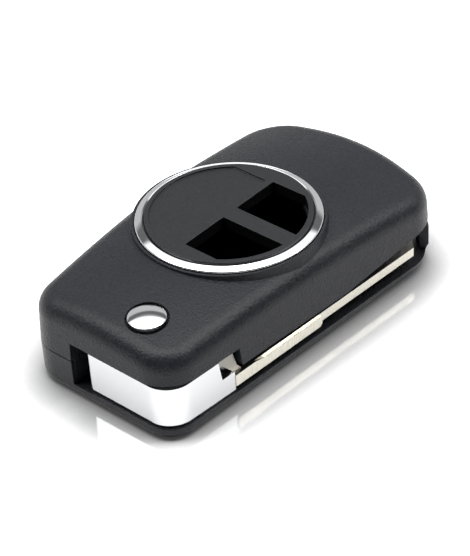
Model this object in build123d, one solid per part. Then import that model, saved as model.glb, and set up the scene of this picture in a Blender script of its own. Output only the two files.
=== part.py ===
"""Flip key remote shell: an empty folding car key case, built with its blade folded in.

The case is two plastic shells. A chrome head turns on a post in the lower shell and carries
the uncut blade, which lies in a slot along the right side. A chrome button over the head's
axis lets it go. A chrome ring and a dark disc with two button windows close the top.

Plan sizes are measured from the axis of the ring: -X is the front, where the blade comes out,
+Y the left, +Z up. Every piece is written with the case's bounding box centred on the origin.
"""
import os
from math import atan2, cos, hypot, radians, sin, sqrt, tan

from build123d import *

# Plan outline of the case: distances of its corners from the ring's axis, and their radii
FRONT = 34.2
FRONT_LEFT = 15.4
FRONT_LEFT_R = 6.5
WAIST_X = 6.0
WAIST_LEFT = 19.1
WAIST_R = 70.0
REAR_LEFT_X = 31.8
REAR_LEFT = 18.5
REAR_LEFT_R = 10.0
REAR_X = 35.5
REAR_Y = -1.5
REAR_R = 50.0
REAR_RIGHT_X = 32.0
REAR_RIGHT = 21.0
REAR_RIGHT_R = 8.0
FRONT_RIGHT = 16.8
FRONT_RIGHT_R = 5.2
UPPER_FRONT_RIGHT_R = 6.7

# Heights of the case, whose top is arched both ways, and the shadow gap along its seam
SEAM_Z = 7.2
SEAM_GAP = 0.2
SEAM_GAP_DEPTH = 0.5
ARCH_TOP = 18.7
ARCH_X = 1.0
ARCH_LONG_R = 300.0
ARCH_WIDE_R = 80.0
FLOOR = 2.3
TOP_SKIN = 1.8
WALL = 1.6
DRAFT = 3.0
TOP_ROUND = 3.5
BOTTOM_ROUND = 1.6
TUCK_Z = 3.6
TUCK_ALONG = 0.9
TUCK_ACROSS = 1.8

# Chrome ring, and the raised boss round it
RING_R = 16.0
RING_HOLE_R = 14.35
RING_RIM_Z = 18.9
RING_CREST_Z = 19.4
RING_SEAT_Z = 17.5
RING_EDGE = 0.25
BOSS_R = 16.5
BOSS_Z = 18.6
BOSS_FOOT_R = 17.8
BOSS_FOOT_Z = 14.9
BOSS_WAIST_R = 16.95
BOSS_WAIST_Z = 16.7
BAY_HOLE_R = 13.2
FIT = 0.05

# Disc inside the ring, with its two windows and a bare recess
DISC_Z = 19.65
DISC_GAP = 0.1
WINDOW_R = 13.35
WINDOW_REACH = 11.2
WINDOW_START = -0.3
WINDOW_BAR = 3.35
RECESS_R = 13.5
RECESS_REACH = 10.8
RECESS_START = 1.0
RECESS_DEPTH = 0.3

# Flip head, turning about the axis of the release button
PIVOT_X = -27.1
PIVOT_Y = -6.3
HEAD_INSET = 0.5
HEAD_LEFT = 2.0
HEAD_HEIGHT = 8.0
HEAD_REAR = 5.5
HEAD_SLANT = 0.65
HEAD_LEFT_R = 0.9
HEAD_BACK_R = 3.5
HEAD_EDGE = 0.3
ARM_END = 8.3
ARM_HEIGHT = 3.9
ARM_WIDTH = 9.0
HEAD_PLAY = 0.2
SWEEP_GAP = 0.8
FLIP_ANGLE = 177.0
HUB_R = 6.4
HUB_WEB = 2.0
HUB_BORE_R = 4.6
CEILING = 15.3

# Pivot post of the lower shell, and what holds the head on it
POST_R = 2.5
RUNNING_FIT = 0.05
POST_PLAY = 0.1
WASHER_R = 3.0
WASHER_THICK = 0.5
PIVOT_SCREW_R = 1.0
PIVOT_SCREW_HEAD_R = 2.0
PIVOT_SCREW_HEAD = 1.1
PIVOT_SCREW_LENGTH = 4.0
SCREW_SLOT = 0.5

# Release button and its spring
BUTTON_R = 3.22
BUTTON_RIM_Z = 17.4
BUTTON_DOME = 0.6
BUTTON_HOLE_GAP = 0.4
BUTTON_TRAVEL = 1.5
BUTTON_SKIRT_WALL = 0.6
BUTTON_SLIDE_GAP = 0.1
BUTTON_STOP_GAP = 0.1
BUTTON_ROOF = 1.6
SKIRT_DIP = 2.0
LUG_REACH = 0.9
LUG_WIDTH = 2.2
LUG_HEIGHT = 1.6
LUG_GAP = 0.1
GUIDE_WALL = 1.1
SPRING_WIRE = 0.5
SPRING_TURNS = 5
SPRING_GAP = 0.12

# Blade, folded along the right side
BLADE_TILT = 2.9
BLADE_EDGE = 10.36
BLADE_WIDTH = 8.0
BLADE_TIP_GAP = 1.7
BLADE_STEP_REACH = 29.0
BLADE_LIFT = 1.5
BLADE_THICK = 1.7
BLADE_STEP = 0.56
BLADE_STEP_BREAK = 0.5
SHOULDER_PROUD = 0.4
SHOULDER_DROP = 0.4
SHOULDER_SLOPE_START = 13.0
SHOULDER_SLOPE_END = 15.0
BLADE_TIP_INNER = 2.5
BLADE_TIP_OUTER = 2.2
BLADE_TIP_BEVEL = 0.6
TRACK_WIDTH = 1.8
TRACK_DEPTH = 0.45
TRACK_START = 12.0
TANG_WIDTH = 5.0
TANG_THICK = 2.0
TANG_LIFT = 0.9
TANG_START = 3.4
TANG_GAP = 0.05
ROLL_PIN_R = 0.9
ROLL_PIN_PLACE = 5.0
ROLL_PIN_LENGTH = 5.0
ROLL_PIN_LIFT = 0.2
ROLL_PIN_CORE_R = 0.45
ROLL_PIN_SLIT = 0.25

# Grey stop tab that stands on the root of the blade
TAB_ROOT = 3.8
TAB_TOP_END = 8.5
TAB_NOSE = 9.43
TAB_NOSE_RISE = 1.1
TAB_POINT = 10.38
TAB_HEEL = 8.77
TAB_THROAT = 6.1
TAB_THROAT_RISE = 2.85
TAB_THICK = 1.5
TAB_INSET = 0.35
TAB_GAP = 0.05
NOTCH_TOP_END = 9.4
NOTCH_FOOT_END = 9.75

# Blade slot, whose upper edge rises to the rear, walls inside and the key ring corner
SLOT_RISE_START = 35.0
SLOT_RISE_END = 62.0
SLOT_RISE = 2.8
BLADE_GAP = 0.6
INNER_WALL = 1.2
INNER_WALL_END = 2.4
ROOF = 1.2
RING_POST_START = -52.0
RING_POST_END = -27.0
PASSAGE_START = 27.0

# Screws that join the shells from below
SCREW_R = 1.0
SCREW_HEAD_R = 1.9
SCREW_HEAD = 1.2
SCREW_RECESS = 1.0
SCREW_BITE = 4.5
SCREW_EDGE = 0.38
SCREW_BOSS_R = 2.3
SCREW_PLACES = ((-27.5, 10.6), (25.5, 11.5), (25.5, -4.5))

HEAD_Z = FLOOR + HEAD_PLAY
HEAD_TOP = HEAD_Z + HEAD_HEIGHT
ARM_TOP = HEAD_Z + ARM_HEIGHT
SLOT_TOP = HEAD_TOP + HEAD_PLAY
WEB_TOP = HEAD_Z + HUB_WEB
SCREW_SEAT = SCREW_RECESS + SCREW_HEAD
POST_TOP = WEB_TOP + POST_PLAY
WASHER_TOP = POST_TOP + WASHER_THICK
SKIRT_R = HUB_BORE_R - BUTTON_SLIDE_GAP
SKIRT_TOP = CEILING - BUTTON_STOP_GAP
SKIRT_Z = HEAD_TOP - SKIRT_DIP
SPRING_TOP = SKIRT_TOP - BUTTON_ROOF
BLADE_Z = HEAD_Z + BLADE_LIFT
BLADE_TOP = BLADE_Z + BLADE_THICK
BLADE_INNER = BLADE_EDGE - BLADE_WIDTH
SIDE_LEAN = atan2(REAR_RIGHT - FRONT_RIGHT, REAR_RIGHT_X + FRONT)
PIVOT = Pos(PIVOT_X, PIVOT_Y, 0)
FOLDED = PIVOT * Rot(0, 0, -BLADE_TILT)
FAR = 200.0


def prism(sketch, low, high):
    """Upright prism of a plan sketch between two heights."""
    return extrude(Pos(0, 0, low) * sketch, amount=high - low)


def disc(radius, low, high):
    """Upright cylinder on the Z axis between two heights."""
    return prism(Circle(radius), low, high)


def block(left, right, near, far, low, high):
    """Box between two X, two Y and two Z values."""
    return Pos(left, near, low) * Box(
        right - left, far - near, high - low, align=(Align.MIN, Align.MIN, Align.MIN)
    )


def plan_region(left, right, near, far):
    """Flat rectangle between two X and two Y values."""
    return Pos(left, near) * Rectangle(right - left, far - near, align=(Align.MIN, Align.MIN))


def case_plan(inset=0.0, tuck=0.0, front_round=FRONT_RIGHT_R):
    """Outline of the case in plan, moved inwards by an even distance.

    The rear right corner is drawn in further by a share of the tuck of the underside, and the
    front right corner has the radius that is asked for.
    """
    corners = (
        (-FRONT, FRONT_LEFT, FRONT_LEFT_R),
        (WAIST_X, WAIST_LEFT, WAIST_R),
        (REAR_LEFT_X, REAR_LEFT, REAR_LEFT_R),
        (REAR_X, REAR_Y, REAR_R),
        (REAR_RIGHT_X - tuck * TUCK_ALONG, tuck * TUCK_ACROSS - REAR_RIGHT, REAR_RIGHT_R),
        (-FRONT, -FRONT_RIGHT, front_round),
    )
    face = make_face(Polyline([(x, y) for x, y, _ in corners], close=True))
    for x, y, radius in corners:
        corner = face.vertices().sort_by_distance((x, y, 0))[0]
        face = fillet(corner, radius)
    return offset(face, -inset) if inset else face


def drafted(inset, high):
    """Upper case block from the seam to a height, its sides leaning in by the draft."""
    lean = (high - SEAM_Z) * tan(radians(DRAFT))
    foot = case_plan(inset, front_round=UPPER_FRONT_RIGHT_R)
    head = case_plan(inset + lean, front_round=UPPER_FRONT_RIGHT_R)
    return loft([Pos(0, 0, SEAM_Z) * foot, Pos(0, 0, high) * head], ruled=True)


def arch(drop=0.0):
    """Large body whose upper surface is the arched top of the case, lowered by an even drop."""
    tube = Torus(ARCH_LONG_R - ARCH_WIDE_R, ARCH_WIDE_R - drop)
    return Pos(ARCH_X, 0, ARCH_TOP - ARCH_LONG_R) * Rot(90, 0, 0) * tube


def blade_plan(start, end, near, far):
    """Rectangle along the folded blade and across it to the right, from the pivot."""
    return FOLDED * plan_region(start, end, -far, -near)


def head_reach():
    """Farthest that the head's rounded front corner stands from the pivot."""
    run = FRONT_RIGHT_R * tan((radians(90) - SIDE_LEAN) / 2)
    corner_x = FRONT_RIGHT_R - FRONT
    corner_y = run * cos(SIDE_LEAN) - FRONT_RIGHT
    return hypot(corner_x - PIVOT_X, corner_y - PIVOT_Y) + FRONT_RIGHT_R - HEAD_INSET


def arm_reach():
    """How far left of the pivot the end of the arm stands once the blade is open."""
    side_y = FRONT_RIGHT + (PIVOT_X + ARM_END + FRONT) * tan(SIDE_LEAN) - HEAD_INSET
    across = side_y + PIVOT_Y
    angle = atan2(across, ARM_END) + radians(FLIP_ANGLE)
    return -hypot(ARM_END, across) * sin(angle)


POCKET_R = max(head_reach(), arm_reach()) + SWEEP_GAP
SLOT_LEFT = PIVOT_Y + POCKET_R
WALL_R = POCKET_R + INNER_WALL / 2 - FIT
WALL_ACROSS = BLADE_INNER - BLADE_GAP - INNER_WALL / 2


def beside_blade(along, across):
    """Plan point from the pivot: along the folded blade, and across it to the right."""
    lean = radians(BLADE_TILT)
    return (
        PIVOT_X + along * cos(lean) - across * sin(lean),
        PIVOT_Y - along * sin(lean) - across * cos(lean),
    )


PASSAGE_SIDE = beside_blade((PASSAGE_START - PIVOT_X) / cos(radians(BLADE_TILT)), WALL_ACROSS)[1]


def blade_reach():
    """How far the blade reaches from the pivot, so that its tip swings clear of the key ring post."""
    centre = rear_corner_centre()
    angle = radians(RING_POST_START)
    post_x = centre.X + (REAR_RIGHT_R - WALL) * cos(angle)
    post_y = centre.Y + (REAR_RIGHT_R - WALL) * sin(angle)
    swing = hypot(post_x - PIVOT_X, post_y - PIVOT_Y) - BLADE_TIP_GAP
    return sqrt(swing**2 - (BLADE_EDGE - BLADE_TIP_OUTER) ** 2)


def side_profile(points):
    """Solid that stands on the folded blade's line and runs out to the right.

    Its outline is given by distances along the blade from the pivot, and heights, and runs
    counter-clockwise from low near the pivot.
    """
    return FOLDED * extrude(make_face(Plane.XZ * Polyline(points, close=True)), amount=FAR)


def inner_walls(low, high):
    """Wall that parts the head and the blade from the inside of the case."""
    side_y = SLOT_LEFT + INNER_WALL / 2 - FIT
    start = beside_blade(sqrt(WALL_R**2 - WALL_ACROSS**2), WALL_ACROSS)
    middle = (PIVOT_X + WALL_R * sqrt(0.5), PIVOT_Y + WALL_R * sqrt(0.5))
    path = Wire(
        [
            Line((WALL / 2 - FRONT, side_y), (PIVOT_X, side_y)),
            ThreePointArc((PIVOT_X, side_y), middle, start),
            Line(start, (PASSAGE_START, PASSAGE_SIDE)),
            Line((PASSAGE_START, PASSAGE_SIDE), (REAR_X - INNER_WALL_END, PASSAGE_SIDE)),
        ]
    )
    return prism(trace(path, line_width=INNER_WALL), low, high)


def rear_corner_centre():
    """Centre of the rounded rear right corner in plan."""
    arcs = case_plan().edges().filter_by(GeomType.CIRCLE)
    return arcs.sort_by_distance((REAR_RIGHT_X, -REAR_RIGHT, 0))[0].arc_center


def ring_post_plan():
    """Plan of the key ring post: the piece of wall that is left in the rear right corner."""
    rays = [
        (FAR * cos(radians(angle)), FAR * sin(radians(angle)))
        for angle in (RING_POST_START, RING_POST_END)
    ]
    sector = make_face(Polyline([(0, 0), *rays], close=True))
    centre = rear_corner_centre()
    return Pos(centre.X, centre.Y) * sector & case_plan() - case_plan(WALL)


def upper_shell():
    """Upper half of the case: top, sides, raised boss of the ring and the head's opening."""
    cover = drafted(0, ARCH_TOP) & arch()
    cover = fillet(cover.faces().sort_by(Axis.Z)[-1].edges(), TOP_ROUND)
    flank = ThreePointArc(
        (BOSS_FOOT_R, 0, BOSS_FOOT_Z), (BOSS_WAIST_R, 0, BOSS_WAIST_Z), (BOSS_R, 0, BOSS_Z)
    )
    outline = Wire(
        [
            flank,
            Line((BOSS_R, 0, BOSS_Z), (0, 0, BOSS_Z)),
            Line((0, 0, BOSS_Z), (0, 0, BOSS_FOOT_Z)),
            Line((0, 0, BOSS_FOOT_Z), (BOSS_FOOT_R, 0, BOSS_FOOT_Z)),
        ]
    )
    shell = cover + revolve(Face(outline), Axis.Z)
    shell -= drafted(WALL, ARCH_TOP) & arch(TOP_SKIN)
    shell -= disc(RING_R + FIT, RING_SEAT_Z, FAR)
    shell -= disc(BAY_HOLE_R, SEAM_Z, FAR)
    shell = shell + upper_inside() - front_opening() - slot_rise()
    shell -= PIVOT * disc(HUB_BORE_R, SLOT_TOP, CEILING)
    shell -= PIVOT * disc(BUTTON_R + BUTTON_HOLE_GAP, CEILING - FIT, FAR)
    for x, y in SCREW_PLACES:
        shell -= Pos(x, y) * disc(SCREW_R + FIT, SEAM_Z - SCREW_BITE, SEAM_Z + SCREW_BITE)
    return shell


def upper_inside():
    """Walls, button guide, blade roof and screw bosses under the top of the case."""
    ribs = inner_walls(SEAM_Z, ARCH_TOP)
    ribs &= block(-FAR, PIVOT_X + WALL_R + INNER_WALL, -FAR, FAR, SEAM_Z, ARCH_TOP)
    ribs += PIVOT * disc(HUB_BORE_R + GUIDE_WALL, SLOT_TOP, ARCH_TOP)
    roof = side_profile(
        [
            (NOTCH_FOOT_END, SEAM_Z),
            (SLOT_RISE_END, SEAM_Z),
            (SLOT_RISE_END, SEAM_Z + SLOT_RISE + ROOF),
            (SLOT_RISE_START, SEAM_Z + ROOF),
            (NOTCH_FOOT_END, SEAM_Z + ROOF),
        ]
    )
    ribs += roof & prism(beside_and_behind(), SEAM_Z, ARCH_TOP)
    for x, y in SCREW_PLACES:
        ribs += Pos(x, y) * disc(SCREW_BOSS_R, SEAM_Z, ARCH_TOP)
    return ribs & drafted(WALL / 2, ARCH_TOP) & arch(TOP_SKIN / 2)


def beside_and_behind():
    """Plan of the blade's slot and the key ring corner, up to the middle of the inner walls."""
    beside = blade_plan(NOTCH_FOOT_END, FAR, WALL_ACROSS, FAR)
    return beside + plan_region(PASSAGE_START, FAR, -FAR, PASSAGE_SIDE)


def slot_rise():
    """Wedge over the rear half of the blade, by which the upper edge of its slot rises."""
    wedge = side_profile(
        [
            (SLOT_RISE_START, 0),
            (SLOT_RISE_END, 0),
            (SLOT_RISE_END, SEAM_Z + SLOT_RISE),
            (SLOT_RISE_START, SEAM_Z),
        ]
    )
    return wedge & prism(beside_and_behind(), 0, ARCH_TOP)


def front_opening():
    """Room that the head, its arm and the stop tab need in the upper shell."""
    slot = block(-FAR, PIVOT_X, -FAR, SLOT_LEFT, 0, SLOT_TOP)
    slot += PIVOT * disc(POCKET_R, 0, SLOT_TOP)
    notch = [(0, 0), (NOTCH_FOOT_END, 0), (NOTCH_FOOT_END, SEAM_Z), (NOTCH_TOP_END, SLOT_TOP), (0, SLOT_TOP)]
    return slot + side_profile(notch)


def lower_shell():
    """Lower half of the case: floor, walls, pivot post and the key ring post."""
    block_up = loft([case_plan(tuck=1.0), Pos(0, 0, TUCK_Z) * case_plan()], ruled=True)
    block_up += prism(case_plan(), TUCK_Z, SEAM_Z)
    block_up = fillet(block_up.faces().sort_by(Axis.Z)[0].edges(), BOTTOM_ROUND)
    room = prism(case_plan(WALL), FLOOR, FAR)
    room += block(-FAR, FAR, -FAR, PASSAGE_SIDE, FLOOR, FAR)
    room += block(-FAR, PIVOT_X, -FAR, SLOT_LEFT, FLOOR, FAR)
    tray = block_up - room
    tray -= prism(case_plan(-FIT) - case_plan(SEAM_GAP_DEPTH), SEAM_Z - SEAM_GAP, SEAM_Z)
    tray += inner_walls(FLOOR, SEAM_Z)
    tray += block_up & prism(ring_post_plan(), FLOOR, SEAM_Z)
    tray += PIVOT * disc(POST_R, FLOOR, POST_TOP)
    tray -= PIVOT * disc(PIVOT_SCREW_R + FIT, WASHER_TOP - PIVOT_SCREW_LENGTH, FAR)
    for x, y in SCREW_PLACES:
        hole = disc(SCREW_R + FIT, 0, FAR) + disc(SCREW_HEAD_R + FIT, 0, SCREW_SEAT)
        tray += Pos(x, y) * disc(SCREW_BOSS_R, FLOOR, SEAM_Z)
        tray -= Pos(x, y) * hole
    return tray


def bezel_ring():
    """Chrome ring with a sloping face, pressed into the boss round the disc."""
    section = make_face(
        Plane.XZ
        * Polyline(
            [
                (RING_HOLE_R, RING_SEAT_Z),
                (RING_R, RING_SEAT_Z),
                (RING_R, RING_RIM_Z),
                (RING_HOLE_R, RING_CREST_Z),
            ],
            close=True,
        )
    )
    ring = revolve(section, Axis.Z)
    rims = ring.edges().group_by(Axis.Z)
    return chamfer(rims[-1] + rims[-2], RING_EDGE)


def button_frame():
    """Dark disc inside the ring: two windows for buttons and a bare recess."""
    plate = disc(RING_HOLE_R - DISC_GAP, RING_SEAT_Z, DISC_Z)
    right = plan_region(-WINDOW_REACH, WINDOW_REACH, -FAR, WINDOW_START)
    windows = right & Circle(WINDOW_R)
    windows -= plan_region(-WINDOW_BAR / 2, WINDOW_BAR / 2, -FAR, FAR)
    recess = Circle(RECESS_R) & plan_region(-FAR, RECESS_REACH, RECESS_START, FAR)
    plate -= prism(windows, 0, FAR)
    return plate - prism(recess, DISC_Z - RECESS_DEPTH, FAR)


def flip_head():
    """Chrome pivot block: hub, closed front and side, and the arm that grips the blade."""
    plan = case_plan(HEAD_INSET) & plan_region(-FAR, PIVOT_X + HEAD_REAR, -FAR, HEAD_LEFT)
    left = plan.vertices().sort_by(Axis.Y)[-2:]
    plan = fillet(left.sort_by(Axis.X)[0], HEAD_LEFT_R)
    plan = fillet(plan.vertices().sort_by_distance((PIVOT_X + HEAD_REAR, HEAD_LEFT, 0))[0], HEAD_BACK_R)
    head = prism(plan, HEAD_Z, HEAD_TOP)
    outer = head.faces().sort_by(Axis.Z)
    head = chamfer(outer[0].edges() + outer[-1].edges(), HEAD_EDGE)
    grip = case_plan(HEAD_INSET) & blade_plan(0, ARM_END, BLADE_EDGE - ARM_WIDTH, FAR)
    head += prism(grip, HEAD_Z, ARM_TOP)
    head += PIVOT * disc(HUB_R, HEAD_Z, HEAD_TOP)
    head -= PIVOT * disc(HUB_BORE_R, WEB_TOP, FAR)
    head -= PIVOT * disc(POST_R + RUNNING_FIT, 0, FAR)
    lug_room = Rectangle(2 * (SKIRT_R + LUG_REACH + LUG_GAP), LUG_WIDTH + 2 * LUG_GAP)
    head -= PIVOT * prism(lug_room, HEAD_TOP - SKIRT_DIP - BUTTON_TRAVEL - LUG_GAP, FAR)
    slant = [
        (HEAD_REAR, ARM_TOP),
        (ARM_END, ARM_TOP),
        (ARM_END, HEAD_TOP),
        (HEAD_REAR - HEAD_SLANT, HEAD_TOP),
    ]
    head -= side_profile(slant) & prism(blade_plan(0, ARM_END, HUB_R, FAR), 0, FAR)
    head -= tang(TANG_GAP)
    head -= tab_plate(TAB_GAP)
    return head - roll_pin_place() * disc(ROLL_PIN_R, 0, HEAD_Z + ROLL_PIN_LIFT + ROLL_PIN_LENGTH)


def tang(gap=0.0):
    """Narrow end of the blade that sits in the arm, with room round it if a gap is given."""
    middle = BLADE_EDGE - BLADE_WIDTH / 2
    side = TANG_WIDTH / 2 + gap
    plan = blade_plan(TANG_START - gap, ARM_END + BLADE_STEP, middle - side, middle + side)
    low = HEAD_Z + TANG_LIFT
    return prism(plan, low - gap, low + TANG_THICK + gap)


def roll_pin_place():
    """Where the roll pin stands, through the middle of the tang."""
    return Pos(*beside_blade(ROLL_PIN_PLACE, BLADE_EDGE - BLADE_WIDTH / 2))


def roll_pin():
    """Slit spring pin that holds the blade in the arm."""
    low = HEAD_Z + ROLL_PIN_LIFT
    pin = disc(ROLL_PIN_R - FIT, low, low + ROLL_PIN_LENGTH) - disc(ROLL_PIN_CORE_R, 0, FAR)
    pin -= block(0, ROLL_PIN_R, -ROLL_PIN_SLIT / 2, ROLL_PIN_SLIT / 2, 0, FAR)
    return roll_pin_place() * pin


def tab_plate(gap=0.0):
    """Beak-shaped stop tab beside the root of the blade, grown by a gap where it is let in."""
    foot = BLADE_TOP + TAB_GAP
    points = [
        (TAB_ROOT - gap, HEAD_TOP - HEAD_EDGE),
        (TAB_TOP_END, HEAD_TOP - HEAD_EDGE),
        (TAB_NOSE, foot + TAB_NOSE_RISE),
        (TAB_POINT, foot),
        (TAB_HEEL, foot),
        (TAB_THROAT, foot + TAB_THROAT_RISE - gap),
        (TAB_ROOT - gap, foot + TAB_THROAT_RISE - gap),
    ]
    plate = make_face(Plane.XZ * Polyline(points, close=True))
    plate = Pos(0, TAB_INSET - gap - BLADE_EDGE, 0) * extrude(plate, amount=TAB_THICK + 2 * gap)
    return FOLDED * plate


def key_blade():
    """Uncut blade: a thick first half with a proud shoulder, a thinner second half and a tang."""
    reach = blade_reach()
    plan = blade_plan(ARM_END + TANG_GAP, reach, BLADE_INNER, BLADE_EDGE)
    for across, bevel in ((BLADE_INNER, BLADE_TIP_INNER), (BLADE_EDGE, BLADE_TIP_OUTER)):
        corner = (*beside_blade(reach, across), 0)
        plan = chamfer(plan.vertices().sort_by_distance(corner)[0], bevel)
    blade = prism(plan, BLADE_Z, BLADE_TOP)
    tip_edge = blade.edges().filter_by(Plane.XY).group_by(Axis.Z)[0].sort_by(Axis.X)[-1]
    blade = chamfer(tip_edge, BLADE_TIP_BEVEL)
    root = prism(
        blade_plan(ARM_END + TANG_GAP, BLADE_STEP_REACH, BLADE_INNER, BLADE_EDGE),
        BLADE_Z - BLADE_STEP,
        BLADE_TOP,
    )
    step_edge = root.edges().group_by(Axis.Z)[0].sort_by(Axis.X)[-1]
    blade += chamfer(step_edge, BLADE_STEP_BREAK)
    shoulder = side_profile(
        [
            (ARM_END + TANG_GAP, BLADE_Z - BLADE_STEP),
            (BLADE_STEP_REACH - BLADE_STEP_BREAK, BLADE_Z - BLADE_STEP),
            (BLADE_STEP_REACH, BLADE_Z - BLADE_STEP + BLADE_STEP_BREAK),
            (BLADE_STEP_REACH, BLADE_TOP - SHOULDER_DROP),
            (SHOULDER_SLOPE_END, BLADE_TOP - SHOULDER_DROP),
            (SHOULDER_SLOPE_START, BLADE_TOP),
            (ARM_END + TANG_GAP, BLADE_TOP),
        ]
    )
    edge = blade_plan(0, BLADE_STEP_REACH, BLADE_EDGE - FIT, BLADE_EDGE + SHOULDER_PROUD)
    blade += shoulder & prism(edge, 0, FAR)
    middle = BLADE_EDGE - BLADE_WIDTH / 2
    track = blade_plan(TRACK_START, FAR, middle - TRACK_WIDTH / 2, middle + TRACK_WIDTH / 2)
    blade -= prism(track, BLADE_TOP - TRACK_DEPTH, FAR)
    blade -= prism(track, 0, BLADE_Z - BLADE_STEP + TRACK_DEPTH)
    blade += tang()
    return blade - roll_pin_place() * disc(ROLL_PIN_R, 0, FAR)


def release_button():
    """Chrome button: domed cap, stop flange, skirt round the spring and two driving lugs."""
    rim_z = BUTTON_RIM_Z
    crest_z = rim_z + BUTTON_DOME
    dome_r = (BUTTON_R**2 + BUTTON_DOME**2) / (2 * BUTTON_DOME)
    half = BUTTON_R / 2
    profile = Wire(
        [
            Line((0, 0, SKIRT_TOP), (BUTTON_R, 0, SKIRT_TOP)),
            Line((BUTTON_R, 0, SKIRT_TOP), (BUTTON_R, 0, rim_z)),
            ThreePointArc(
                (BUTTON_R, 0, rim_z),
                (half, 0, crest_z - dome_r + sqrt(dome_r**2 - half**2)),
                (0, 0, crest_z),
            ),
            Line((0, 0, crest_z), (0, 0, SKIRT_TOP)),
        ]
    )
    button = revolve(Face(profile), Axis.Z)
    button += disc(SKIRT_R, SKIRT_Z, SKIRT_TOP)
    button -= disc(SKIRT_R - BUTTON_SKIRT_WALL, 0, SPRING_TOP)
    lugs = Rectangle(2 * (SKIRT_R + LUG_REACH), LUG_WIDTH) - Circle(SKIRT_R - BUTTON_SKIRT_WALL)
    return PIVOT * (button + prism(lugs, SKIRT_Z, SKIRT_Z + LUG_HEIGHT))


def release_spring():
    """Coil spring between the web of the head and the roof of the button."""
    coil_r = SKIRT_R - BUTTON_SKIRT_WALL - SPRING_GAP - SPRING_WIRE / 2
    low = WEB_TOP + SPRING_WIRE / 2
    height = SPRING_TOP - SPRING_WIRE / 2 - low
    path = Helix(pitch=height / SPRING_TURNS, height=height, radius=coil_r)
    section = Plane(origin=path @ 0, z_dir=path % 0) * Rectangle(SPRING_WIRE, SPRING_WIRE)
    return PIVOT * Pos(0, 0, low) * sweep(section, path=path)


def pivot_washer():
    """Washer on top of the pivot post that keeps the head down."""
    washer = disc(WASHER_R, POST_TOP, WASHER_TOP) - disc(PIVOT_SCREW_R + FIT, 0, FAR)
    return PIVOT * washer


def screw(thread_r, head_r, head_height, length):
    """Slotted pan-head screw, thread down, with the underside of its head at zero."""
    body = disc(head_r, 0, head_height)
    body = chamfer(body.edges().group_by(Axis.Z)[-1], SCREW_EDGE)
    body += disc(thread_r, -length, 0)
    half = SCREW_SLOT / 2
    return body - block(-FAR, FAR, -half, half, head_height / 2, FAR)


def pivot_screw():
    """Screw through the washer into the pivot post."""
    body = screw(PIVOT_SCREW_R, PIVOT_SCREW_HEAD_R, PIVOT_SCREW_HEAD, PIVOT_SCREW_LENGTH - 2 * FIT)
    return PIVOT * Pos(0, 0, WASHER_TOP) * body


def shell_screw(x, y):
    """Screw driven up from below through the lower shell into the upper one."""
    length = SEAM_Z + SCREW_BITE - FIT - SCREW_SEAT
    return Pos(x, y, SCREW_SEAT) * Rot(180, 0, 0) * screw(SCREW_R, SCREW_HEAD_R, SCREW_HEAD, length)


def build():
    """Every piece by name, with the middle of the case's outline on the Z axis."""
    pieces = {
        "upper_shell": upper_shell(),
        "lower_shell": lower_shell(),
        "bezel_ring": bezel_ring(),
        "button_frame": button_frame(),
        "release_button": release_button(),
        "release_spring": release_spring(),
        "flip_head": flip_head(),
        "key_blade": key_blade(),
        "roll_pin": roll_pin(),
        "stop_tab": tab_plate(),
        "pivot_washer": pivot_washer(),
        "pivot_screw": pivot_screw(),
    }
    for number, (x, y) in enumerate(SCREW_PLACES, start=1):
        pieces[f"shell_screw_{number}"] = shell_screw(x, y)
    middle = case_plan().bounding_box().center()
    return {name: Pos(-middle.X, -middle.Y, 0) * piece for name, piece in pieces.items()}


if __name__ == "__main__":
    os.makedirs("parts", exist_ok=True)
    for name, piece in build().items():
        export_step(piece, f"parts/{name}.step")
        box = piece.bounding_box()
        print(name, len(piece.solids()), round(piece.volume, 2), box.min, box.max)
    middle = case_plan().bounding_box().center()
    print("ring axis", -middle.X, -middle.Y, "pivot", PIVOT_X - middle.X, PIVOT_Y - middle.Y)
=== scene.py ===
"""Looks of the flip key remote shell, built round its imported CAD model.

The camera stands where the photograph was taken. The light is a plain white studio: a wide
soft box overhead, a pale horizon with a darker band above it, a dark side where the lens
stands, and a glossy white table.
"""

import logging
import math
from dataclasses import dataclass
from enum import Enum

import bmesh
import bpy
from mathutils import Matrix, Vector


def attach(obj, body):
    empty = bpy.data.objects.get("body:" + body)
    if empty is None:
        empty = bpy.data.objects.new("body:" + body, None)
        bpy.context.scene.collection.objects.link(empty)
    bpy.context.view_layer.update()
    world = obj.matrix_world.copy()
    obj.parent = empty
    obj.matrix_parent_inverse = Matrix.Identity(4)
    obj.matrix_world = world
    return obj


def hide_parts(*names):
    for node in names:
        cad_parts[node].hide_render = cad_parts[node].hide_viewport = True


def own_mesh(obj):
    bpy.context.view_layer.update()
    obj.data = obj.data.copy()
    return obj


logging.basicConfig(level=logging.INFO, format="%(message)s")
log = logging.getLogger("flip_key")

Span = tuple[float, float]
Profile = list[tuple[float, float]]
Factor = tuple[bpy.types.NodeSocket, Span, Span]

MM = 0.001
# Axis in plan on which the head turns, and along which the button and its spring move, in mm.
PIVOT = (-27.3383, -5.5304)
# Range that holds nearly all values of a noise texture, and the detail that most of them have.
NOISE_SPAN = (0.3, 0.7)
NOISE_DETAIL = 3.0
NOISE_ROUGHNESS = 0.6
# Inputs of a Mix node that share their names, and its output for a colour.
MIX_FIRST_NUMBER, MIX_SECOND_NUMBER = 2, 3
MIX_FIRST_COLOUR, MIX_SECOND_COLOUR = 6, 7
MIX_COLOUR = 2
# Faces of a built piece that meet at less than this are shaded as one.
SMOOTH_ANGLE = math.radians(32)
# Edges of a CAD node that turn less than this stay as they are when it is softened.
SOFTEN_ANGLE = math.radians(40)

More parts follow.
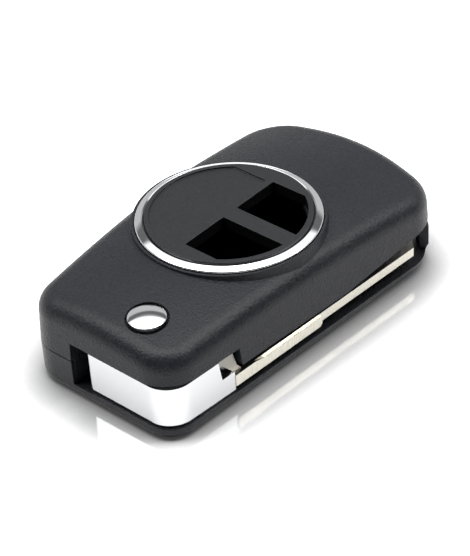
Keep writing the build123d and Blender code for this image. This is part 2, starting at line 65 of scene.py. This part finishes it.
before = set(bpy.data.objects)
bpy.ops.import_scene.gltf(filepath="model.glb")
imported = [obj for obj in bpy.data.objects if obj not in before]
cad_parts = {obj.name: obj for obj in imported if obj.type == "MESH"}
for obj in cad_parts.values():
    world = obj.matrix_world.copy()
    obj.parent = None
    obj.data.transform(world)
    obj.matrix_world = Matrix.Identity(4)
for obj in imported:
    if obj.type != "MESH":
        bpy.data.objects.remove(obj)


class Body(Enum):
    """Bodies of the CAD model that a piece can ride on."""

    CASE = "case"
    HEAD = "head"
    BUTTON = "button"


class Slot(Enum):
    """Names of material slots for chrome and steel."""

    CHROME = "chrome"
    STEEL = "steel"


class Course(Enum):
    """How a value gets from one end of its range to the other."""

    STRAIGHT = "LINEAR"
    SMOOTH = "SMOOTHSTEP"


def linear(hex_code: str) -> tuple[float, float, float, float]:
    """Turns an sRGB hex colour into a linear one.

    Args:
        hex_code: Six hex digits, without a hash sign.

    Returns:
        Red, green, blue and an alpha of one.
    """
    channels = [int(hex_code[i : i + 2], 16) / 255 for i in (0, 2, 4)]
    lit = [c / 12.92 if c <= 0.04045 else ((c + 0.055) / 1.055) ** 2.4 for c in channels]
    return (lit[0], lit[1], lit[2], 1.0)


def add_node(
    tree: bpy.types.NodeTree,
    kind: str,
    settings: dict | None = None,
    links: dict | None = None,
) -> bpy.types.Node:
    """Adds a node with its settings and incoming links.

    Args:
        tree: Node tree to add to.
        kind: Blender's name of the node type.
        settings: Values by name of attribute, or by name or index of input socket.
        links: Output sockets by name or index of the input that they feed.

    Returns:
        The new node.
    """
    node = tree.nodes.new(kind)
    for name, value in (settings or {}).items():
        if isinstance(name, str) and hasattr(node, name):
            setattr(node, name, value)
        else:
            node.inputs[name].default_value = value
    for name, source in (links or {}).items():
        tree.links.new(source, node.inputs[name])
    return node


def graded(
    tree: bpy.types.NodeTree,
    *factors: Factor,
    course: Course = Course.STRAIGHT,
    first: bpy.types.NodeSocket | None = None,
) -> bpy.types.NodeSocket:
    """Maps each value from its range to another one, and multiplies what comes out.

    Args:
        tree: Node tree to add to.
        factors: Socket of each value, the ends of its range, and what they become.
        course: How the values get from one end to the other.
        first: Socket that the product starts from, if there is one.

    Returns:
        The socket with the product.
    """
    result = first
    for source, (low, high), (start, end) in factors:
        ends = {"From Min": low, "From Max": high, "To Min": start, "To Max": end}
        settings = {"interpolation_type": course.value, **ends}
        factor = add_node(tree, "ShaderNodeMapRange", settings, {"Value": source}).outputs["Result"]
        if result is None:
            result = factor
            continue
        result = add_node(
            tree, "ShaderNodeMath", {"operation": "MULTIPLY"}, {0: result, 1: factor}
        ).outputs["Value"]
    return result


@dataclass(frozen=True)
class Finish:
    """What every finish has: a name, a colour and the shader's main values."""

    name: str
    colour: str
    roughness: float
    metallic: float = 0.0
    ior: float = 1.5

    def start(self) -> tuple[bpy.types.Material, bpy.types.NodeTree, bpy.types.Node]:
        """Makes the material with its shader set to the finish's values.

        Returns:
            The material, its node tree and its shader node.
        """
        material = bpy.data.materials.new(self.name)
        material.use_nodes = True
        tree = material.node_tree
        shader = tree.nodes["Principled BSDF"]
        shader.inputs["Base Color"].default_value = linear(self.colour)
        shader.inputs["Roughness"].default_value = self.roughness
        shader.inputs["Metallic"].default_value = self.metallic
        shader.inputs["IOR"].default_value = self.ior
        return material, tree, shader


@dataclass(frozen=True)
class MouldedPlastic(Finish):
    """ABS moulded in a spark-eroded tool: an even matt grain that glitters faintly."""

    grain_mm: float = 0.42
    grain_depth_mm: float = 0.105
    grain_roughness: Span = (-0.05, 0.09)
    speckle: float = 0.14
    mottle_mm: float = 7.0
    mottle: float = 0.08
    # Width of the rubbed edges, the cosines between the rounded and the flat normal at which
    # the rub starts and is full, how much lighter it is, and its share of the roughness.
    edge_mm: float = 0.12
    edge_turn: Span = (0.995, 0.93)
    edge_wear: float = 0.35
    edge_polish: float = 0.8
    # Heights of the normal up to which a face is upright, and from which it isn't, and the share of
    # the colour that upright faces keep: a painted shade that darkens walls inside hollows.
    upright_slope: Span = (0.1, 0.4)
    upright_painted_shade: float = 1.0

    def make(self) -> bpy.types.Material:
        """Makes the plastic with its grain, a slow mottle, edges rubbed a little smoother, and
        upright faces darkened by a painted shade.

        Returns:
            The finished material.
        """
        material, tree, shader = self.start()
        place = add_node(tree, "ShaderNodeTexCoord").outputs["Object"]
        # The eroded grain is about 0.1 mm across, drawn three or four times as coarse to show.
        grain = add_node(
            tree,
            "ShaderNodeTexNoise",
            {
                "Scale": 1 / (self.grain_mm * MM),
                "Detail": NOISE_DETAIL,
                "Roughness": NOISE_ROUGHNESS,
            },
            {"Vector": place},
        ).outputs["Fac"]
        patch = add_node(
            tree,
            "ShaderNodeTexNoise",
            {"Scale": 1 / (self.mottle_mm * MM), "Detail": NOISE_DETAIL},
            {"Vector": place},
        ).outputs["Fac"]
        soft = add_node(
            tree, "ShaderNodeBevel", {"samples": 4, "Radius": self.edge_mm * MM}
        ).outputs["Normal"]
        bump = add_node(
            tree,
            "ShaderNodeBump",
            {"Strength": 1.0, "Distance": self.grain_depth_mm * MM},
            {"Height": grain, "Normal": soft},
        )
        tree.links.new(bump.outputs["Normal"], shader.inputs["Normal"])
        flat = add_node(tree, "ShaderNodeNewGeometry").outputs["Normal"]
        turned = add_node(
            tree, "ShaderNodeVectorMath", {"operation": "DOT_PRODUCT"}, {0: soft, 1: flat}
        ).outputs["Value"]
        smooth, rough = (self.roughness + change for change in self.grain_roughness)
        roughness = graded(
            tree,
            (grain, NOISE_SPAN, (smooth, rough)),
            (turned, self.edge_turn, (1.0, self.edge_polish)),
        )
        tree.links.new(roughness, shader.inputs["Roughness"])
        # The colour varies with the mottle, the grain and the rubbed edges, and upright faces are
        # painted darker: a painted shade for the walls of cut-outs, which little light reaches.
        level = add_node(tree, "ShaderNodeSeparateXYZ", links={"Vector": flat}).outputs["Z"]
        grain_wear_and_painted_shade = graded(
            tree,
            (patch, NOISE_SPAN, (1 - self.mottle, 1 + self.mottle)),
            (grain, NOISE_SPAN, (1 - self.speckle, 1 + self.speckle)),
            (turned, self.edge_turn, (1.0, 1 + self.edge_wear)),
            (level, self.upright_slope, (self.upright_painted_shade, 1.0)),
        )
        colour = add_node(
            tree,
            "ShaderNodeVectorMath",
            {"operation": "SCALE", 0: linear(self.colour)[:3]},
            {"Scale": grain_wear_and_painted_shade},
        )
        tree.links.new(colour.outputs["Vector"], shader.inputs["Base Color"])
        return material


@dataclass(frozen=True)
class Plating(Finish):
    """Chrome plated over a polished part: a mirror with the faintest haze and waviness."""

    wave_mm: float = 6.0
    wave_depth_mm: float = 0.002
    wave_detail: float = 1.0
    haze: float = 0.03

    def make(self) -> bpy.types.Material:
        """Makes the plating with a slow waviness and a patchy haze.

        Returns:
            The finished material.
        """
        material, tree, shader = self.start()
        place = add_node(tree, "ShaderNodeTexCoord").outputs["Object"]
        # Polishing leaves waves some millimetres long, too shallow to see but in a reflection.
        wave = add_node(
            tree,
            "ShaderNodeTexNoise",
            {"Scale": 1 / (self.wave_mm * MM), "Detail": self.wave_detail},
            {"Vector": place},
        ).outputs["Fac"]
        bump = add_node(
            tree,
            "ShaderNodeBump",
            {"Strength": 1.0, "Distance": self.wave_depth_mm * MM},
            {"Height": wave},
        )
        tree.links.new(bump.outputs["Normal"], shader.inputs["Normal"])
        haze = graded(tree, (wave, NOISE_SPAN, (self.roughness, self.roughness + self.haze)))
        tree.links.new(haze, shader.inputs["Roughness"])
        return material


@dataclass(frozen=True)
class MilledMetal(Finish):
    """Metal cut by a side mill: fine parallel strokes across its edge, satin between them."""

    stroke_mm: float = 0.35
    stroke_depth_mm: float = 0.006
    stroke_roughness: float = 0.08
    # Shares of the colour in the darkest and the lightest stroke.
    stroke_tint: Span = (0.88, 1.1)
    # How many times as long as wide a stroke is.
    stretch: float = 12.0
    # Heights of the normal between which a milled edge becomes a rolled face, and the share
    # of the strokes' depth that is left there.
    rolled_slope: Span = (0.85, 0.95)
    rolled_strokes: float = 0.1
    rolled_roughness: float = 0.26

    def make(self) -> bpy.types.Material:
        """Makes the metal: strokes that run up and down its edges, and smooth rolled flat faces.

        Returns:
            The finished material.
        """
        material, tree, shader = self.start()
        place = add_node(tree, "ShaderNodeTexCoord").outputs["Object"]
        lay = add_node(
            tree,
            "ShaderNodeMapping",
            {"Scale": (1.0, 1.0, 1 / self.stretch)},
            {"Vector": place},
        ).outputs["Vector"]
        # Cutter strokes are 0.1 to 0.2 mm apart, drawn about twice as coarse to show.
        strokes = add_node(
            tree,
            "ShaderNodeTexNoise",
            {
                "Scale": 1 / (self.stroke_mm * MM),
                "Detail": NOISE_DETAIL,
                "Roughness": NOISE_ROUGHNESS,
            },
            {"Vector": lay},
        ).outputs["Fac"]
        normal = add_node(tree, "ShaderNodeNewGeometry").outputs["Normal"]
        upward = add_node(tree, "ShaderNodeSeparateXYZ", links={"Vector": normal}).outputs["Z"]
        flat = add_node(
            tree, "ShaderNodeMath", {"operation": "ABSOLUTE"}, {0: upward}
        ).outputs["Value"]
        bump = add_node(
            tree,
            "ShaderNodeBump",
            {"Distance": self.stroke_depth_mm * MM},
            {
                "Height": strokes,
                "Strength": graded(tree, (flat, self.rolled_slope, (1.0, self.rolled_strokes))),
            },
        )
        tree.links.new(bump.outputs["Normal"], shader.inputs["Normal"])
        uneven = (self.roughness - self.stroke_roughness, self.roughness + self.stroke_roughness)
        roughness = add_node(
            tree,
            "ShaderNodeMix",
            {"data_type": "FLOAT", MIX_SECOND_NUMBER: self.rolled_roughness},
            {
                "Factor": graded(tree, (flat, self.rolled_slope, (0.0, 1.0))),
                MIX_FIRST_NUMBER: graded(tree, (strokes, NOISE_SPAN, uneven)),
            },
        )
        tree.links.new(roughness.outputs["Result"], shader.inputs["Roughness"])
        dark, light = (
            [min(1.0, share * channel) for channel in linear(self.colour)[:3]] + [1.0]
            for share in self.stroke_tint
        )
        tint = add_node(
            tree,
            "ShaderNodeMix",
            {"data_type": "RGBA", MIX_FIRST_COLOUR: dark, MIX_SECOND_COLOUR: light},
            {"Factor": strokes},
        )
        tree.links.new(tint.outputs[MIX_COLOUR], shader.inputs["Base Color"])
        return material


@dataclass(frozen=True)
class GlossySheet(Finish):
    """Polished white acrylic sheet: white to the lens, with a faint image of what is on it and a
    painted shadow round it.
    """

    # White of the sheet as the lens sees it, and the light that it adds of its own.
    lens_white: float = 1.75
    glow: float = 0.05
    # Painted shadow: distance from the object at which the sheet's colour starts to darken, and how
    # steeply it does.
    painted_shadow_reach_mm: float = 15.0
    painted_shadow_power: float = 2.2

    def make(self) -> bpy.types.Material:
        """Makes the sheet, brightened for the lens alone, darkened near the object by a painted
        shadow, and plain for the light that it throws.

        Returns:
            The finished material.
        """
        material, tree, seen = self.start()
        seen.inputs["Emission Color"].default_value = (1.0, 1.0, 1.0, 1.0)
        seen.inputs["Emission Strength"].default_value = self.glow
        # Painted shadow: the sheet's colour darkens in the corner under the object, by how much of
        # the room the object hides.
        painted_shadow_cover = add_node(
            tree, "ShaderNodeAmbientOcclusion", {"Distance": self.painted_shadow_reach_mm * MM}
        ).outputs["AO"]
        painted_shadow = add_node(
            tree, "ShaderNodeMath", {"operation": "POWER", 1: self.painted_shadow_power}, {0: painted_shadow_cover}
        ).outputs["Value"]
        # The lens white is scaled down by the painted shadow.
        white = add_node(
            tree,
            "ShaderNodeVectorMath",
            {"operation": "SCALE", 0: (self.lens_white,) * 3},
            {"Scale": painted_shadow},
        )
        tree.links.new(white.outputs["Vector"], seen.inputs["Base Color"])
        lens = add_node(tree, "ShaderNodeLightPath").outputs["Is Camera Ray"]
        plain = add_node(tree, "ShaderNodeBsdfDiffuse", {"Color": linear(self.colour)})
        mix = add_node(
            tree,
            "ShaderNodeMixShader",
            links={0: lens, 1: plain.outputs[0], 2: seen.outputs[0]},
        )
        tree.links.new(mix.outputs[0], tree.nodes["Material Output"].inputs["Surface"])
        return material


# ABS from a spark-eroded mould: near black, matt, with a sheen that only highlights show.
SHELL_ABS = MouldedPlastic("moulded_abs_case", "26272C", roughness=0.3, ior=1.35)
# The same ABS from a smoother mould: satin, with hardly any grain, and upright faces painted darker
# as shade.
FRAME_ABS = MouldedPlastic(
    "satin_moulded_abs_disc",
    "242528",
    roughness=0.34,
    grain_mm=0.3,
    grain_depth_mm=0.004,
    speckle=0.1,
    mottle=0.04,
    # Upright faces keep this share of the colour: a painted shade for the walls of the windows.
    upright_painted_shade=0.35,
)
# Bright chrome on polished plastic and zinc: mirrors the room, with the faintest haze.
CHROME = Plating("chrome_plating", "F0F1F3", roughness=0.05, metallic=1.0)
# Side-milled nickel silver: warm, satin, with cutter strokes across its narrow face.
NICKEL_SILVER = MilledMetal(
    "milled_nickel_silver", "F7F1E4", roughness=0.3, metallic=1.0, stroke_depth_mm=0.003
)
# Sheared steel left as it was cut: grey-beige and dull.
SATIN_STEEL = MilledMetal("sheared_steel_tab", "A5A39C", roughness=0.4, metallic=1.0)
# Zinc-plated wire and screws: pale, even and a little cloudy.
PLAIN_STEEL = MilledMetal(
    "zinc_plated_steel", "C4C6C8", roughness=0.3, metallic=1.0, stretch=1.0
)
# Polished acrylic sheet under the object: white, with a soft mirror image and a painted shadow
# close to it.
TABLE = GlossySheet("white_glossy_table", "FAFAFA", roughness=0.1, ior=1.9)


def dress(material: bpy.types.Material, *nodes: str) -> None:
    """Gives CAD nodes their material.

    Args:
        material: Material for the whole of each node.
        nodes: Names of the CAD nodes.
    """
    for node in nodes:
        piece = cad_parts[node]
        piece.data.materials.clear()
        piece.data.materials.append(material)
        log.info("dressed %s", node)


def soften(node: str, width_mm: float, segments: int = 2, weld_mm: float = 0.002) -> None:
    """Breaks the sharp edges of a CAD node with a bevel modifier.

    Args:
        node: Name of the CAD node.
        width_mm: Width of the broken edge.
        segments: Facets across it.
        weld_mm: Points closer than this become one first.
    """
    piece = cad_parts[node]
    weld = piece.modifiers.new("weld", "WELD")
    weld.merge_threshold = weld_mm * MM
    bevel = piece.modifiers.new("broken_edges", "BEVEL")
    bevel.width = width_mm * MM
    bevel.segments = segments
    bevel.limit_method = "ANGLE"
    bevel.angle_limit = SOFTEN_ANGLE
    bevel.harden_normals = True


def rounded(points: list[tuple[float, float, float]], steps: int = 6) -> Profile:
    """Rounds the corners of a closed lathe profile.

    Args:
        points: Radius, height and corner radius of each point, in mm.
        steps: Facets round each corner.

    Returns:
        Radius and height of each point of the rounded profile, in mm.
    """
    outline = []
    for index, (radius, height, size) in enumerate(points):
        here = Vector((radius, height))
        if size == 0:
            outline.append((here.x, here.y))
            continue
        before = (Vector(points[index - 1][:2]) - here).normalized()
        after = (Vector(points[(index + 1) % len(points)][:2]) - here).normalized()
        half = before.angle(after) / 2
        middle = here + (before + after).normalized() * (size / math.sin(half))
        start, end = (here + way * (size / math.tan(half)) - middle for way in (before, after))
        for step in range(steps + 1):
            spot = middle + start.lerp(end, step / steps).normalized() * size
            outline.append((spot.x, spot.y))
    return outline


def lathe(
    mesh: bmesh.types.BMesh, profile: Profile, axis: tuple[float, float], sides: int
) -> None:
    """Turns a closed profile round an upright axis.

    Args:
        mesh: Mesh to add to.
        profile: Radius and height of each point, in mm.
        axis: Place of the axis in plan, in mm.
        sides: Steps round the axis.
    """
    rings = []
    for radius, height in profile:
        ring = []
        for step in range(sides if radius > 0 else 1):
            turn = math.tau * step / sides
            x = (axis[0] + radius * math.cos(turn)) * MM
            y = (axis[1] + radius * math.sin(turn)) * MM
            ring.append(mesh.verts.new((x, y, height * MM)))
        rings.append(ring)
    for low, high in zip(rings, rings[1:] + rings[:1]):
        if len(low) == len(high) == 1:
            continue
        for step in range(sides):
            after = (step + 1) % sides
            corners = [
                low[step % len(low)],
                low[after % len(low)],
                high[after % len(high)],
                high[step % len(high)],
            ]
            mesh.faces.new(list(dict.fromkeys(corners)))


def finish_piece(
    mesh: bmesh.types.BMesh,
    name: str,
    material: bpy.types.Material,
    body: Body,
    stands_for: str,
) -> bpy.types.Object:
    """Turns a built mesh into an object that takes a CAD node's place and rides on a body.

    Args:
        mesh: Built mesh, in metres, in the row frame.
        name: Name of the piece.
        material: Its material.
        body: The body that it moves with.
        stands_for: The CAD node that it takes the place of.

    Returns:
        The new object.
    """
    bmesh.ops.recalc_face_normals(mesh, faces=mesh.faces)
    data = bpy.data.meshes.new(name)
    mesh.to_mesh(data)
    mesh.free()
    data.polygons.foreach_set("use_smooth", [True] * len(data.polygons))
    data.set_sharp_from_angle(angle=SMOOTH_ANGLE)
    data.materials.append(material)
    piece = bpy.data.objects.new(name, data)
    bpy.context.scene.collection.objects.link(piece)
    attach(piece, body.value)
    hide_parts(stands_for)
    log.info("built %s: %d faces", name, len(data.polygons))
    return piece


@dataclass
class Case:
    """Two plastic halves and the screws that join them from below."""

    halves: tuple[str, ...] = ("upper_shell", "lower_shell")
    screws: tuple[str, ...] = ("shell_screw_1", "shell_screw_2", "shell_screw_3")

    def build(self) -> None:
        """Dresses both halves and the screws."""
        dress(SHELL_ABS.make(), *self.halves)
        dress(PLAIN_STEEL.make(), *self.screws)


@dataclass
class RingAndDisc:
    """Chrome ring on the boss, round the dark disc with its windows."""

    axis: tuple[float, float] = (-0.2383, 0.7696)
    outer_mm: float = 15.9
    crest_mm: float = 14.72
    inner_mm: float = 14.35
    seat_z: float = 17.5
    rim_z: float = 18.9
    crest_z: float = 19.32
    bevel_z: float = 19.13
    rim_round_mm: float = 0.25
    crest_round_mm: float = 0.08
    bevel_round_mm: float = 0.05
    sides: int = 256
    disc_edge_mm: float = 0.04

    def ring(self) -> None:
        """Turns the ring: rounded rim, sloping face, narrow bevel inside."""
        mesh = bmesh.new()
        profile = rounded(
            [
                (self.inner_mm, self.seat_z, 0.0),
                (self.outer_mm, self.seat_z, 0.0),
                (self.outer_mm, self.rim_z, self.rim_round_mm),
                (self.crest_mm, self.crest_z, self.crest_round_mm),
                (self.inner_mm, self.bevel_z, self.bevel_round_mm),
            ]
        )
        lathe(mesh, profile, self.axis, self.sides)
        finish_piece(mesh, "chrome_ring", CHROME.make(), Body.CASE, "bezel_ring")

    def build(self) -> None:
        """Builds the ring and dresses the disc."""
        self.ring()
        dress(FRAME_ABS.make(), "button_frame")
        soften("button_frame", self.disc_edge_mm)


@dataclass
class ReleaseButton:
    """Domed chrome button on its skirt, with two driving lugs."""

    axis: tuple[float, float] = PIVOT
    cap_mm: float = 3.22
    crest_z: float = 18.0
    rim_z: float = 17.4
    rim_round_mm: float = 0.14
    rim_width_mm: float = 0.22
    flange_z: float = 15.2
    skirt_mm: float = 4.5
    skirt_wall_mm: float = 0.6
    skirt_round_mm: float = 0.1
    foot_z: float = 8.5
    foot_round_mm: float = 0.08
    roof_z: float = 13.6
    lug_reach_mm: float = 0.9
    lug_width_mm: float = 2.2
    lug_height_mm: float = 1.6
    lug_edge_mm: float = 0.12
    sides: int = 96
    dome_steps: int = 14

    def dome(self) -> Profile:
        """Works out the cap's top, from its crest to where its rounded rim starts.

        Returns:
            Radius and height of each point, in mm.
        """
        rise = self.crest_z - self.rim_z
        curve = (self.cap_mm**2 + rise**2) / (2 * rise)
        reach = self.cap_mm - self.rim_width_mm
        spots = [reach * step / self.dome_steps for step in range(self.dome_steps + 1)]
        return [(spot, self.crest_z - curve + math.sqrt(curve**2 - spot**2)) for spot in spots]

    def lug(self, mesh: bmesh.types.BMesh, side: int) -> None:
        """Adds a driving lug, which keeps the button from turning in the head.

        Args:
            mesh: Mesh to add to.
            side: One or minus one, for the lug along or against X.
        """
        start = self.skirt_mm - self.skirt_wall_mm
        end = self.skirt_mm + self.lug_reach_mm
        middle = self.axis[0] + side * (start + end) / 2
        spot = Vector((middle, self.axis[1], self.foot_z + self.lug_height_mm / 2))
        size = (end - start, self.lug_width_mm, self.lug_height_mm)
        stretch = Matrix.Diagonal([*(length * MM for length in size), 1.0])
        place = Matrix.Translation(spot * MM) @ stretch
        made = bmesh.ops.create_cube(mesh, size=1.0, matrix=place)
        edges = {edge for vert in made["verts"] for edge in vert.link_edges}
        bmesh.ops.bevel(
            mesh,
            geom=list(edges),
            offset=self.lug_edge_mm * MM,
            segments=2,
            affect="EDGES",
            profile=0.5,
        )

    def build(self) -> None:
        """Builds the button in one piece."""
        mesh = bmesh.new()
        inner = self.skirt_mm - self.skirt_wall_mm
        body = rounded(
            [
                (self.cap_mm, self.rim_z, self.rim_round_mm),
                (self.cap_mm, self.flange_z, 0.0),
                (self.skirt_mm, self.flange_z, self.skirt_round_mm),
                (self.skirt_mm, self.foot_z, self.foot_round_mm),
                (inner, self.foot_z, self.foot_round_mm),
                (inner, self.roof_z, 0.0),
                (0.0, self.roof_z, 0.0),
                (0.0, self.crest_z, 0.0),
            ]
        )
        lathe(mesh, body[:-1] + self.dome(), self.axis, self.sides)
        for side in (1, -1):
            self.lug(mesh, side)
        finish_piece(
            mesh, "domed_button", CHROME.make(), Body.BUTTON, "release_button"
        )


@dataclass
class FlipHead:
    """Chrome head with its tab, and the parts that hold it on its post."""

    fasteners: tuple[str, ...] = ("roll_pin", "pivot_washer", "pivot_screw")
    tab_edge_mm: float = 0.06

    def build(self) -> None:
        """Dresses the head, the stop tab, the pin, the washer and the screw."""
        dress(CHROME.make(), "flip_head")
        dress(SATIN_STEEL.make(), "stop_tab")
        soften("stop_tab", self.tab_edge_mm)
        dress(PLAIN_STEEL.make(), *self.fasteners)


@dataclass
class ReturnSpring:
    """Coil spring of round wire with closed ends, which the button squeezes."""

    axis: tuple[float, float] = PIVOT
    wire_mm: float = 0.5
    coil_mm: float = 3.53
    foot_z: float = 4.5
    top_z: float = 13.6
    travel_mm: float = 1.5
    closed_turns: float = 1.0
    open_turns: float = 5.0
    turn_steps: int = 32
    wire_sides: int = 8

    def rise(self, turn: float) -> float:
        """Works out how high the wire lies: closed turns, then open ones, then closed ones.

        Args:
            turn: Turns since the foot.

        Returns:
            Height of the middle of the wire, in mm.
        """
        stacked = (2 * self.closed_turns + 1) * self.wire_mm
        pitch = (self.top_z - self.foot_z - stacked) / self.open_turns
        opened = min(max(turn - self.closed_turns, 0.0), self.open_turns)
        closed = turn - opened
        return self.foot_z + self.wire_mm / 2 + closed * self.wire_mm + opened * pitch

    def section(self, mesh: bmesh.types.BMesh, turn: float) -> list[bmesh.types.BMVert]:
        """Adds the points round the wire's section.

        Args:
            mesh: Mesh to add to.
            turn: Turns since the foot.

        Returns:
            The points, in order.
        """
        out = Vector((math.cos(math.tau * turn), math.sin(math.tau * turn), 0))
        middle = Vector((*self.axis, self.rise(turn))) + out * self.coil_mm
        points = []
        for side in range(self.wire_sides):
            angle = math.tau * side / self.wire_sides
            way = out * math.cos(angle) + Vector((0, 0, math.sin(angle)))
            points.append(mesh.verts.new((middle + way * self.wire_mm / 2) * MM))
        return points

    def build(self) -> None:
        """Winds the wire."""
        mesh = bmesh.new()
        steps = round((self.open_turns + 2 * self.closed_turns) * self.turn_steps)
        rings = [self.section(mesh, step / self.turn_steps) for step in range(steps + 1)]
        for low, high in zip(rings, rings[1:]):
            for side in range(self.wire_sides):
                after = (side + 1) % self.wire_sides
                mesh.faces.new((low[side], low[after], high[after], high[side]))
        for end in (rings[0], rings[-1]):
            mesh.faces.new(end)
        spring = finish_piece(
            mesh, "return_spring", PLAIN_STEEL.make(), Body.HEAD, "release_spring"
        )
        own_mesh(spring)


@dataclass
class Blade:
    """Uncut blade, folded along the side."""

    node: str = "key_blade"

    def build(self) -> None:
        """Dresses the blade."""
        dress(NICKEL_SILVER.make(), self.node)


@dataclass
class Studio:
    """White table, soft light and the camera of the photograph."""

    lens_mm: float = 134.55
    sensor_mm: float = 36.0
    near_m: float = 0.01
    eye: tuple[float, float, float] = (-0.20594, -0.19473, 0.2199)
    right: tuple[float, float, float] = (0.6561, -0.7526, -0.0555)
    up: tuple[float, float, float] = (0.4839, 0.3631, 0.7962)
    table_side_m: float = 3.0
    table_grid: int = 4
    # Ends of the soft box, as slopes from straight up: to the back, the front, left and right.
    box_back: float = 0.95
    box_front: float = -0.1
    box_left: float = -1.3
    box_right: float = 1.5
    box_soft: float = 0.08
    # Slopes to the back between which its light falls, and the light before and after them.
    box_fade: Span = (0.22, 0.44)
    box_light: float = 6.8
    box_back_light: float = 1.1
    # Cosines from the lens at which the room starts to darken and is darkest, and what is left.
    front_reach: Span = (-0.3, 0.15)
    front_light: float = 0.04
    # Light of the rest of the room: sine of the height above the horizon, then strength.
    heights: tuple[tuple[float, float], ...] = (
        (0.0, 0.7),
        (0.44, 0.7),
        (0.51, 0.18),
        (0.62, 0.18),
        (0.7, 0.5),
        (1.0, 0.5),
    )
    # Directions below this height count as this high, so that their slopes stay finite.
    lowest_sine: float = 0.01

    def camera(self) -> None:
        """Sets the camera where the photograph was taken."""
        data = bpy.data.cameras.new("camera")
        data.lens = self.lens_mm
        data.sensor_width = self.sensor_mm
        data.clip_start = self.near_m
        lens = bpy.data.objects.new("camera", data)
        bpy.context.scene.collection.objects.link(lens)
        right = Vector(self.right).normalized()
        up = (Vector(self.up) - right * right.dot(Vector(self.up))).normalized()
        turn = Matrix((right, up, right.cross(up))).transposed()
        lens.matrix_world = Matrix.Translation(self.eye) @ turn.to_4x4()
        bpy.context.scene.camera = lens

    def world(self) -> None:
        """Lights the room: soft box, dark band, pale horizon, dark where the lens stands."""
        world = bpy.data.worlds.new("studio")
        world.use_nodes = True
        bpy.context.scene.world = world
        tree = world.node_tree
        tree.nodes.clear()
        sky = add_node(tree, "ShaderNodeTexCoord").outputs["Generated"]
        height = add_node(tree, "ShaderNodeSeparateXYZ", links={"Vector": sky}).outputs["Z"]
        toward = Vector((self.eye[0], self.eye[1], 0)).normalized()
        across = Vector((-toward.y, toward.x, 0))
        front, back, right = (
            add_node(
                tree, "ShaderNodeVectorMath", {"operation": "DOT_PRODUCT", 1: way}, {0: sky}
            ).outputs["Value"]
            for way in (toward, -toward, across)
        )
        bands = add_node(tree, "ShaderNodeValToRGB", links={"Fac": height})
        stops = bands.color_ramp.elements
        while len(stops) < len(self.heights):
            stops.new(1.0)
        for stop, (position, grey) in zip(stops, self.heights):
            stop.position = position
            stop.color = (grey, grey, grey, 1.0)
        walls = graded(
            tree,
            (front, self.front_reach, (1.0, self.front_light)),
            course=Course.SMOOTH,
            first=bands.outputs["Color"],
        )
        room = add_node(
            tree,
            "ShaderNodeMath",
            {"operation": "ADD"},
            {0: walls, 1: self.overhead_box(tree, height, back, right)},
        )
        light = add_node(
            tree, "ShaderNodeBackground", links={"Strength": room.outputs["Value"]}
        )
        white = add_node(
            tree, "ShaderNodeBackground", {"Color": (1.0, 1.0, 1.0, 1.0), "Strength": 1.0}
        )
        lens = add_node(tree, "ShaderNodeLightPath").outputs["Is Camera Ray"]
        mix = add_node(
            tree,
            "ShaderNodeMixShader",
            links={0: lens, 1: light.outputs[0], 2: white.outputs[0]},
        )
        add_node(tree, "ShaderNodeOutputWorld", links={"Surface": mix.outputs[0]})

    def overhead_box(
        self,
        tree: bpy.types.NodeTree,
        height: bpy.types.NodeSocket,
        back: bpy.types.NodeSocket,
        right: bpy.types.NodeSocket,
    ) -> bpy.types.NodeSocket:
        """Adds a level rectangular soft box overhead, brightest over the object.

        Args:
            tree: Node tree of the world.
            height: How far a direction points up.
            back: How far it points away from the lens.
            right: How far it points to the right of the lens.

        Returns:
            The socket with the box's light.
        """
        above = add_node(
            tree, "ShaderNodeMath", {"operation": "MAXIMUM", 1: self.lowest_sine}, {0: height}
        ).outputs["Value"]
        to_back, to_right = (
            add_node(
                tree, "ShaderNodeMath", {"operation": "DIVIDE"}, {0: level, 1: above}
            ).outputs["Value"]
            for level in (back, right)
        )
        ends = (
            (to_back, self.box_back, -self.box_soft),
            (to_back, self.box_front, self.box_soft),
            (to_right, self.box_right, -self.box_soft),
            (to_right, self.box_left, self.box_soft),
        )
        edges = [(slope, (end - soft, end + soft), (0.0, 1.0)) for slope, end, soft in ends]
        light = graded(tree, (to_back, self.box_fade, (self.box_light, self.box_back_light)))
        return graded(tree, *edges, course=Course.SMOOTH, first=light)

    def table(self) -> None:
        """Lays the glossy white table, which shows as white and keeps the object's shadow, deepened
        near it by a painted shadow.
        """
        data = bpy.data.meshes.new("floor")
        mesh = bmesh.new()
        bmesh.ops.create_grid(
            mesh,
            x_segments=self.table_grid,
            y_segments=self.table_grid,
            size=self.table_side_m / 2,
        )
        mesh.to_mesh(data)
        mesh.free()
        data.materials.append(TABLE.make())
        floor = bpy.data.objects.new("floor", data)
        bpy.context.scene.collection.objects.link(floor)

    def build(self) -> None:
        """Sets colour transform, camera, world and table."""
        bpy.context.scene.view_settings.view_transform = "Standard"
        self.camera()
        self.world()
        self.table()
        log.info("studio is set")


def main() -> None:
    """Builds every sub-assembly in order."""
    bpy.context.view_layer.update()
    parts = (
        Studio(),
        Case(),
        RingAndDisc(),
        ReleaseButton(),
        FlipHead(),
        ReturnSpring(),
        Blade(),
    )
    for part in parts:
        part.build()
        log.info("%s is done", type(part).__name__)


if __name__ == "__main__":
    main()
